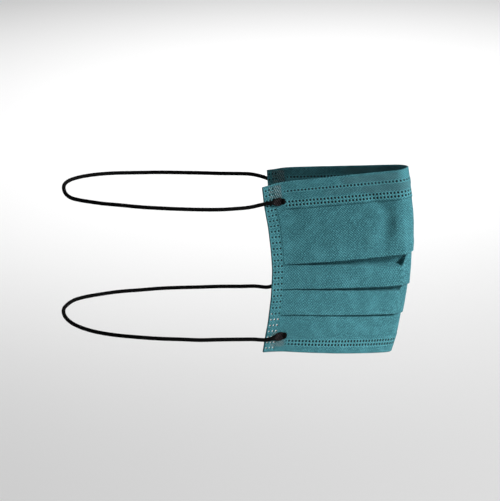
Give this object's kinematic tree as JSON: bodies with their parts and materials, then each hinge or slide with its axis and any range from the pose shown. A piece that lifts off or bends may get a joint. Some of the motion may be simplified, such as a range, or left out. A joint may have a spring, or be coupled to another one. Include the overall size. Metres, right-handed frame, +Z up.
{
  "type": "surgical face mask",
  "caption": "Pleated surgical face mask of non-woven cloth, standing in a half-folded V, with a covered nose wire, welded side bands and elastic loops that go behind the head.",
  "frame": {"origin": "where the mask sits on the bridge of the nose: the inner face of the top hem, in the middle of the nose wire", "axes": "+X to the wearer's left, the nose fold towards -Y and the head loops towards +Y, +Z up"},
  "size_m": [0.134, 0.2013, 0.1073],
  "materials": {
    "cloth": "soft non-woven cloth with a fine weld emboss",
    "elastic": "knitted round elastic",
    "nose_wire": "plastic-coated bendable strip"
  },
  "bodies": {
    "root": {"pleated_panel": "cloth", "top_hem": "cloth", "bottom_hem": "cloth", "side_seal_right": "cloth", "side_seal_left": "cloth", "nose_wire": "nose_wire", "upper_loop": "elastic", "lower_loop": "elastic", "upper_loop_end_right": "elastic", "upper_loop_end_left": "elastic", "lower_loop_end_right": "elastic", "lower_loop_end_left": "elastic"}
  },
  "joints": []
}
